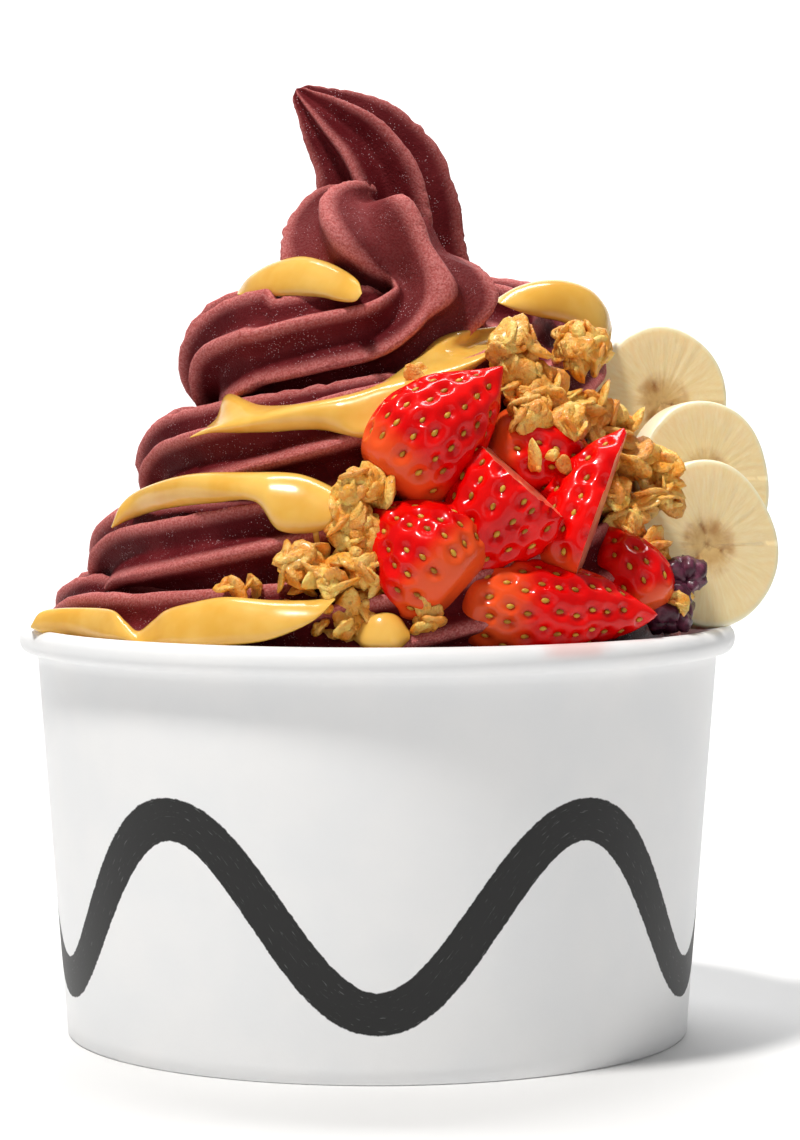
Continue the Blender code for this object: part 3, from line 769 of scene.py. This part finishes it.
SAUCE = (  # name, upper edge, lower edge, thickness, depth at both ends where the swirl doesn't carry it
    ("sauce_top_left",
     px((238, 292), (250, 277), (272, 264), (300, 257), (326, 262), (345, 271), (358, 281), (362, 291)),
     px((238, 295), (252, 297), (272, 297), (300, 297), (322, 298), (340, 302), (355, 302), (362, 294)), 3.4,
     (-6, -15, -24, -33)),
    ("sauce_band",
     px((190, 437), (215, 420), (228, 394), (262, 405), (310, 402), (372, 387), (415, 359), (445, 335),
        (500, 326)),
     px((190, 438), (212, 433), (240, 433), (275, 432), (320, 430), (380, 438), (430, 400), (470, 372),
        (500, 350)), 4.4, None),
    ("sauce_mid",
     px((111, 527), (122, 503), (145, 487), (190, 474), (250, 472), (300, 474), (338, 490), (345, 500)),
     px((112, 528), (132, 519), (165, 509), (215, 503), (255, 502), (280, 531), (325, 530), (345, 505)), 4.2,
     (-6, -14, -26, -36, -42, -45, -46, -46)),
    ("sauce_drip",
     px((312, 524), (313, 536), (315, 548), (312, 560)),
     px((318, 524), (319, 536), (321, 548), (323, 562)), 2.0, None),
    ("sauce_rim",
     px((30, 626), (40, 612), (62, 608), (96, 608), (114, 611), (126, 622), (138, 631), (152, 621),
        (166, 610), (190, 603), (225, 597), (270, 600), (312, 600), (335, 596)),
     px((30, 628), (44, 634), (70, 638), (98, 640), (116, 641), (128, 642), (140, 644), (154, 645),
        (168, 646), (190, 647), (228, 646), (270, 640), (312, 622), (335, 600)), 3.0,
     (-2, -6, -20, -33, -38, -40, -42, -44, -46, -49, -53, -56, -58, -58)),
    ("sauce_right",
     px((495, 300), (515, 288), (540, 281), (565, 281), (590, 290), (606, 308), (612, 328)),
     px((495, 302), (518, 312), (540, 318), (560, 322), (580, 331), (598, 343), (610, 342)), 3.6, (-16, -3)),
    ("sauce_mound",
     px((352, 636), (362, 622), (380, 613), (398, 616), (410, 632)),
     px((353, 640), (366, 650), (382, 652), (398, 651), (410, 640)), 3.6, None),
)


def sauces(material, base):
    surface = BVHTree.FromObject(base, bpy.context.evaluated_depsgraph_get())
    runs = [sauce_run(*row, surface) for row in SAUCE]
    piece = join("nut_butter_sauce", runs)
    piece.data.materials.append(material)
    return piece


# Strawberries.

BERRIES = (  # middle, stem to tip, length, width, cuts, how far the orange shoulder reaches
    ((11.0, -42.5, 108.3), (0.72, 0.15, 0.70), 28.0, 19.0, (((0.2, 0.9, -0.3), 3.0),), 0.22),
    ((6.3, -48.7, 87.8), (-0.62, 0.25, 0.55), 21.5, 20.5, (((0.1, 0.9, -0.25), 5.5),), 0.3),
    ((19.2, -45.6, 92.6), (-0.48, -0.38, -0.70), 24.0, 20.5, (((0.62, -0.08, 0.72), 8.0),), 0.0),
    ((28.5, -33.5, 102.0), (0.85, 0.10, -0.25), 21.0, 17.0, (((-0.1, 0.8, -0.6), 3.0),), 0.2),
    ((36.6, -38.0, 94.6), (0.34, 0.12, 0.93), 28.0, 21.0,
     (((0.86, -0.12, -0.28), 1.0), ((0.1, 1.0, 0.1), 4.0)), 0.1),
    ((42.0, -30.0, 83.5), (-0.35, 0.30, 0.80), 17.0, 14.5, (((0.1, 0.9, -0.3), 4.0),), 0.1),
    ((29.8, -44.2, 77.4), (0.97, 0.22, -0.05), 35.0, 17.0, (((-0.1, 0.7, -0.75), 3.0),), 0.3),
)
SEED_ROW, SEED_GAP = 3.3, 4.3      # between rows of seeds, and along a row
LUMP, LUMP_REACH = 0.035, 8.0      # as a part of the width, and in millimetres
PIT_REACH, PIT_DEPTH, SEED_SUNK = 0.85, 0.7, 0.46
SEED_SIZE = (0.43, 0.7, 0.28)


def facing(forward, upward):
    z = Vector(forward).normalized()
    x = Vector(upward).cross(z).normalized()
    return np.array(Matrix((x, z.cross(x), z)).transposed())


def berry_radius(part, width):
    bulge = np.sin(math.pi * np.clip(part, 0, 1) ** 0.62)
    power = 0.5 + 0.38 * part
    return width / 2 * np.clip(bulge, 0, 1) ** power


def berry_surface(part, turn, length, width):
    radius = berry_radius(part, width)
    return np.stack((radius * np.cos(turn), radius * np.sin(turn), length * (part - 0.5)), 1)


def pit_places(length, width, draw):
    """Seed pits in offset rows from stem to tip."""
    places = []
    rows = round(length / SEED_ROW)
    for row in range(1, rows):
        part = 0.03 + 0.95 * row / rows
        radius = float(berry_radius(np.array([part]), width)[0])
        count = max(3, round(math.tau * radius / SEED_GAP))
        for index in range(count):
            turn = math.tau * (index + 0.5 * (row % 2)) / count + draw.uniform(-0.12, 0.12)
            places.append((part + draw.uniform(-0.008, 0.008), turn))
    return np.array(places)


def strawberry(index, row, skin, flesh, seed_mesh):
    middle, along, length, width, cuts, shoulder = row
    draw = random.Random(index + 40)
    turned = facing(along, (0.3, -1.0, 0.2))
    pits = pit_places(length, width, draw)
    pit_points = berry_surface(pits[:, 0], pits[:, 1], length, width)

    def place(way_round, way_along):
        part = 0.5 - 0.5 * np.cos(math.pi * way_along)
        turn = math.tau * way_round
        points = berry_surface(part, turn, length, width)
        stretch = np.array((1.0, 1.0, 0.72))
        gaps = np.linalg.norm((points[:, None, :] - pit_points[None]) * stretch, axis=2)
        near = gaps.min(axis=1)
        pit = np.exp(-(near / PIT_REACH) ** 2)
        swell = 0.3 * ease(0.8, 1.9, near)
        lump = LUMP * width * ripple(points, LUMP_REACH, index * 3.1)
        outwards = points * (1, 1, 0.6)
        outwards /= np.maximum(np.linalg.norm(outwards, axis=1), 1e-6)[:, None]
        ends = ease(0, 0.04, part) * ease(1.0, 0.97, part)
        points = points + outwards * ((lump + swell - PIT_DEPTH * pit) * ends)[:, None]
        orange = ease(shoulder + 0.22, max(shoulder - 0.2, 0.0), part) * (shoulder > 0)
        return points @ turned.T + middle, {"pit": pit * ends, "shoulder": orange}

    berry = rolled_tube(f"strawberry_piece_{index}", 120, 96, place)
    berry.data.materials.append(skin)
    berry.data.materials.append(flesh)
    berry.active_material_index = 1
    for direction, distance in cuts:
        normal = Vector(direction).normalized()
        plane = np.array(middle) + np.array(normal) * distance
        mode("EDIT")
        bpy.ops.mesh.select_all(action="SELECT")
        bpy.ops.mesh.bisect(plane_co=to_row(plane), plane_no=normal, use_fill=True, clear_outer=True)
        bpy.ops.object.material_slot_assign()
        mode("OBJECT")
    take(berry)
    bpy.ops.object.shade_smooth_by_angle(angle=math.radians(40))

    seeds = []
    step = 0.01
    for (part, turn), point in zip(pits, pit_points):
        up = berry_surface(np.array([part + step]), np.array([turn]), length, width)[0] - point
        side = berry_surface(np.array([part]), np.array([turn + step]), length, width)[0] - point
        out = np.cross(side, up)
        if np.linalg.norm(out) < 1e-9 or not 0.05 < part < 0.97:
            continue
        out /= np.linalg.norm(out)
        up /= np.linalg.norm(up)
        lump = LUMP * width * noise.noise((point / LUMP_REACH + index * 3.1).tolist())
        seed_turned = turned @ np.stack((np.cross(up, out), up, out), 1)
        spot = turned @ (point + out * (lump - SEED_SUNK)) + middle
        if any(np.dot(np.array(Vector(d).normalized()), spot - middle) > far - 0.5 for d, far in cuts):
            continue
        size = draw.uniform(0.85, 1.15)
        seeds.append((seed_mesh * size) @ seed_turned.T + spot)
    return berry, seeds


def scatter(name, shape, faces, copies, material, tones=None):
    """Many copies of one small shape as one piece."""
    points = to_row(np.vstack(copies))
    count = len(shape)
    every = [tuple(v + count * i for v in face) for i in range(len(copies)) for face in faces]
    mesh = bpy.data.meshes.new(name)
    mesh.from_pydata(points.tolist(), [], every)
    piece = bpy.data.objects.new(name, mesh)
    bpy.context.scene.collection.objects.link(piece)
    mesh.materials.append(material)
    if tones is not None:
        mark(piece, "tone", np.repeat(tones, count))
    take(piece)
    bpy.ops.object.shade_smooth()
    return piece


def small_shape(operator, form, **settings):
    """Points in millimetres and faces of a small primitive shaped by form()."""
    start_afresh()
    operator(**settings)
    piece = bpy.context.object
    points = form(points_of(piece))
    faces = [tuple(p.vertices) for p in piece.data.polygons]
    bpy.data.objects.remove(piece)
    return points, faces


def strawberries(skin, flesh, seed_coat_finish):
    def drop(p):
        q = p * SEED_SIZE
        q[:, 0] *= 1 - 0.35 * np.clip(p[:, 1], 0, 1)
        return q

    seed, faces = small_shape(bpy.ops.mesh.primitive_uv_sphere_add, drop, segments=8, ring_count=5, radius=1)
    berries, copies = [], []
    for index, row in enumerate(BERRIES, 1):
        berry, seeds = strawberry(index, row, skin, flesh, seed)
        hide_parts(f"strawberry_{index}")
        berries.append(berry)
        copies += seeds
    return berries, scatter("strawberry_seeds", seed, faces, copies, seed_coat_finish)


# Banana.

BANANAS = (  # middle, radius, the way it faces, how far its heart is turned
    ((56.6, -10.5, 86.6), 14.8, (0.40, -0.90, 0.12), 0.3),
    ((56.8, -1.8, 97.8), 14.0, (0.40, -0.90, 0.12), 1.3),
    ((49.8, 4.8, 111.2), 14.0, (0.38, -0.91, 0.13), 2.2),
)


SLICE = (  # part of the radius, height
    (0.0, -3.0), (0.5, -3.0), (0.93, -3.0), (0.985, -2.6), (1.0, -1.6), (1.0, 1.6), (0.985, 2.6),
    (0.95, 2.95), (0.86, 3.02), (0.6, 2.95), (0.3, 2.9), (0.0, 2.85))


def banana_slice(index, row, material):
    middle, radius, forward, spin = row
    turned = facing(forward, (0, 0, 1))

    def place(way_round, way_along):
        rows = through(SLICE, way_along)
        part, height = np.clip(rows[:, 0], 0, 1.0), rows[:, 1]
        turn = math.tau * way_round
        uneven = 1 + 0.02 * np.cos(3 * turn + 0.6 + index) + 0.01 * np.sin(5 * turn + 2 * index)
        reach = radius * part * uneven
        flat = np.stack((0.96 * reach * np.cos(turn), reach * np.sin(turn), height), 1)
        lobes = np.cos(3 * (turn + spin))
        face = (way_along > 0.6) | (way_along < 0.2)
        spokes = ripple(np.stack((turn * 9, part * 1.5, np.zeros_like(turn)), 1), 1.0, index * 5.0)
        hollow = -0.5 * np.exp(-(part / 0.2) ** 2) + 0.12 * spokes * ease(0.08, 0.35, part)
        hollow += -0.25 * np.exp(-((part - 0.25) / 0.14) ** 2) * np.clip(lobes, 0, 1) ** 3
        flat[:, 2] += np.sign(height) * hollow * face
        seed = np.exp(-((part - 0.2 - 0.04 * np.sin(7 * turn)) / 0.075) ** 2) * np.clip(lobes, 0, 1) ** 4
        dot = np.exp(-(part / 0.06) ** 2) * 0.8
        turn_mark = np.abs(turn / math.pi - 1)
        return flat @ turned.T + middle, {"middle": np.where(face, part, 1.0), "turn": turn_mark,
                                          "seed": np.maximum(seed, dot) * face}

    piece = rolled_tube(f"banana_slice_piece_{index}", 144, 66, place)
    piece.data.materials.append(material)
    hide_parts(f"banana_slice_{index}")
    return piece


# Granola and crushed fruit.

OAT_NODES = {  # flakes, nuggets
    "granola_top": (98, 52), "granola_middle": (34, 20), "granola_low": (46, 24),
    "granola_loose_1": (5, 5), "granola_loose_2": (5, 5), "granola_loose_3": (4, 5),
    "granola_loose_4": (5, 6), "granola_loose_5": (2, 3), "granola_loose_6": (2, 1)}
CLUMPS = (  # clusters that stand out from the solids: middle, reach, flakes, nuggets
    ((34.5, -25.0, 120.8), 4.2, 30, 16),
    ((25.6, -39.0, 109.8), 3.2, 12, 8),
    ((31.5, -37.0, 108.0), 2.8, 9, 6),
    ((40.3, -26.5, 95.6), 2.6, 8, 5),
    ((43.0, -26.0, 91.6), 3.0, 9, 5),
    ((46.6, -26.5, 87.6), 2.0, 5, 3),
    ((48.0, -28.0, 84.6), 1.6, 3, 3),
    ((51.0, -31.0, 78.4), 1.6, 4, 4),
)
FLAKE, NUGGET, CRUSH = (3.7, 2.8, 0.78), (1.5, 1.3, 1.15), (3.0, 2.5, 2.0)      # half sizes
FLAKE_SUNK, NUGGET_SUNK, CRUSH_SUNK, CRUSH_LUMPS = 0.9, 0.7, 1.2, 46


def any_row(draw, reach=1.0):
    return [draw.uniform(-reach, reach) for _ in range(3)]


def places_round(middle, reach, count, draw):
    for _ in range(count):
        out = Vector([draw.gauss(0, 1) for _ in range(3)]).normalized()
        yield np.array(middle) + np.array(out) * reach, np.array(out)


def places_on(name, count, draw):
    """Random points and outward directions on a solid of the frame."""
    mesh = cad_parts[name].data
    mesh.calc_loop_triangles()
    corners = points_of(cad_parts[name])[[t.vertices[:] for t in mesh.loop_triangles]]
    across = np.cross(corners[:, 1] - corners[:, 0], corners[:, 2] - corners[:, 0])
    area = np.linalg.norm(across, axis=1)
    outward = across / np.maximum(area, 1e-12)[:, None]
    # What shows from the front and above is dressed more thickly than what lies against the swirl.
    weight = area * (0.35 + np.clip(-outward[:, 1], 0, 1) + 0.5 * np.clip(outward[:, 2], 0, 1))
    chosen = draw.choices(range(len(area)), weight.tolist(), k=count)
    for i in chosen:
        a, b = sorted((draw.random(), draw.random()))
        spot = corners[i, 0] * a + corners[i, 1] * (b - a) + corners[i, 2] * (1 - b)
        yield (spot - AXIS) / MM, outward[i]


def granola(material):
    draw = random.Random(7)

    def flake(p):
        q = p * FLAKE
        q[:, 2] += 0.03 * (q[:, 0] ** 2) - 0.03 * q[:, 1] ** 2
        q[:, 2] -= 0.38 * np.exp(-(q[:, 1] / 0.6) ** 2) * np.sign(p[:, 2] + 0.2)
        turn = np.arctan2(p[:, 1], p[:, 0])
        q[:, :2] *= (1 + 0.08 * np.sin(3 * turn + 1) + 0.04 * np.sin(5 * turn))[:, None]
        return q

    def nugget(p):
        q = p * NUGGET
        return q * (1 + 0.35 * ripple(q, 1.1, 5.5))[:, None]

    flake_shape, flake_faces = small_shape(bpy.ops.mesh.primitive_uv_sphere_add, flake, segments=14,
                                           ring_count=6, radius=1)
    nugget_shape, nugget_faces = small_shape(bpy.ops.mesh.primitive_ico_sphere_add, nugget, subdivisions=2,
                                             radius=1)
    flakes, nuggets, flake_tones, nugget_tones = [], [], [], []
    groups = [("loose" in name, places_on(name, flat, draw), places_on(name, lumps, draw))
              for name, (flat, lumps) in OAT_NODES.items()]
    groups += [(reach < 2, places_round(middle, reach, flat, draw), places_round(middle, reach, lumps, draw))
               for middle, reach, flat, lumps in CLUMPS]
    for loose, flake_places, lump_places in groups:
        for spot, out in flake_places:
            lean = Vector(out) + Vector(any_row(draw, 0.6))
            turned = facing(lean, any_row(draw))
            size = draw.uniform(0.72, 1.05) * (0.78 if loose else 1.0)
            warp = flake_shape * size
            warp = warp * (1, draw.uniform(0.8, 1.1), draw.uniform(0.8, 1.5))
            flakes.append(warp @ turned.T + spot - out * FLAKE_SUNK)
            flake_tones.append(draw.random() ** 1.4)
        for spot, out in lump_places:
            turned = facing(any_row(draw), any_row(draw))
            size = draw.uniform(0.5, 1.15) * (0.8 if loose else 1.0)
            nuggets.append((nugget_shape * size) @ turned.T + spot - out * NUGGET_SUNK)
            nugget_tones.append(draw.random())
    made = [scatter("oat_flakes", flake_shape, flake_faces, flakes, material, flake_tones),
            scatter("oat_nuggets", nugget_shape, nugget_faces, nuggets, material, nugget_tones)]
    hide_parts(*OAT_NODES)
    return made


def crushed_fruit(material):
    draw = random.Random(5)

    def lump(p):
        q = p * CRUSH
        return q * (1 + 0.3 * ripple(q, 1.5, 2.5))[:, None]

    shape, faces = small_shape(bpy.ops.mesh.primitive_ico_sphere_add, lump, subdivisions=3, radius=1)
    lumps = []
    for spot, out in places_on("berry_crush", CRUSH_LUMPS, draw):
        turned = facing(any_row(draw), any_row(draw))
        lumps.append((shape * draw.uniform(0.6, 1.1)) @ turned.T + spot - out * CRUSH_SUNK)
    piece = scatter("crushed_fruit", shape, faces, lumps, material)
    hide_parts("berry_crush")
    return piece


# The whole cup.

def dress():
    serve, sauce_finish = frosty_soft_serve(), nut_butter()
    skin, flesh, seed_finish = strawberry_skin(), strawberry_flesh(), seed_coat()
    banana_finish, oats, crushed = banana_flesh(), glazed_oats(), crushed_berry()

    cup = paper_cup(cup_paper())
    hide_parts("cup")
    swirl_piece = swirl(serve)
    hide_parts("soft_serve")
    sauce_piece = sauces(sauce_finish, swirl_piece)
    berries, seeds = strawberries(skin, flesh, seed_finish)
    slices = [banana_slice(i, row, banana_finish) for i, row in enumerate(BANANAS, 1)]
    oat_pieces = granola(oats)
    crush = crushed_fruit(crushed)
    for slot, pieces in (("paper", [cup]), ("soft_serve", [swirl_piece, sauce_piece]),
                         ("strawberry", berries + [seeds]), ("banana", slices),
                         ("granola", oat_pieces), ("crush", [crush])):
        for piece in pieces:
            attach(piece, "root")


LAMPS = (  # name, place, size, power, tint, what it points at
    ("key", (-0.38, -0.45, 1.5), 0.2, 23.5, (1.0, 0.98, 0.95), (0.0, 0.0, 0.09)),
    ("fill", (0.5, -1.5, 0.5), 1.0, 1.8, (0.98, 0.99, 1.0), (0.0, 0.0, 0.09)),
    ("backdrop", (0.0, 0.9, 2.2), 1.5, 90.0, (1.0, 1.0, 1.0), (0.0, 2.8, 0.6)),
)
CAMERA_DIP, CAMERA_TURN, SENSOR = 3.04, -0.36, 36      # degrees, degrees, millimetres
GROUND_SIZE, GROUND_PLACE, BACK_EDGE, BACKDROP_HEIGHT, SWEEP = 4.0, (0, 0.8, 0), 1.9, 3.0, 1.0      # metres
AMBIENT = 0.2


def studio():
    """Pale floor that sweeps up into the backdrop, a key light from the upper left front, soft fill."""
    start_afresh()
    bpy.ops.mesh.primitive_plane_add(size=GROUND_SIZE, location=GROUND_PLACE)
    floor = bpy.context.object
    floor.name = "pale_floor"
    pick_edges(floor, lambda ends: all(end.co.y > BACK_EDGE for end in ends))
    bpy.ops.mesh.extrude_region_move(TRANSFORM_OT_translate={"value": (0, 0, BACKDROP_HEIGHT)})
    mode("OBJECT")
    pick_edges(floor, lambda ends: all(end.co.y > BACK_EDGE and end.co.z < 0.1 for end in ends))
    bpy.ops.mesh.bevel(offset=SWEEP, segments=16, affect="EDGES")
    mode("OBJECT")
    bpy.ops.object.shade_smooth()
    material, _, shader, _ = finish_named("pale floor", Roughness=0.7)
    shader.inputs["Base Color"].default_value = shade(222, 222, 222)
    floor.data.materials.append(material)

    for name, place, size, power, tint, target in LAMPS:
        light = bpy.data.lights.new(name, "AREA")
        light.shape = "DISK"
        light.size = size
        light.energy = power
        light.color = tint
        made = bpy.data.objects.new(name, light)
        bpy.context.scene.collection.objects.link(made)
        made.location = place
        made.rotation_mode = "QUATERNION"
        made.rotation_quaternion = (Vector(target) - Vector(place)).to_track_quat("-Z", "Y")

    world = bpy.data.worlds.new("studio")
    world.use_nodes = True
    sky = world.node_tree.nodes["Background"].inputs
    sky["Color"].default_value, sky["Strength"].default_value = (1, 1, 1, 1), AMBIENT
    bpy.context.scene.world = world

    camera = bpy.data.cameras.new("camera")
    camera.lens = SENSOR * FOCAL_PIXELS / PHOTO_PIXELS
    camera.sensor_width = SENSOR
    made = bpy.data.objects.new("camera", camera)
    bpy.context.scene.collection.objects.link(made)
    made.location = to_row(EYE)
    made.rotation_euler = (math.radians(90 - CAMERA_DIP), 0, math.radians(CAMERA_TURN))
    bpy.context.scene.camera = made
    bpy.context.scene.view_settings.view_transform = "Standard"


dress()
studio()
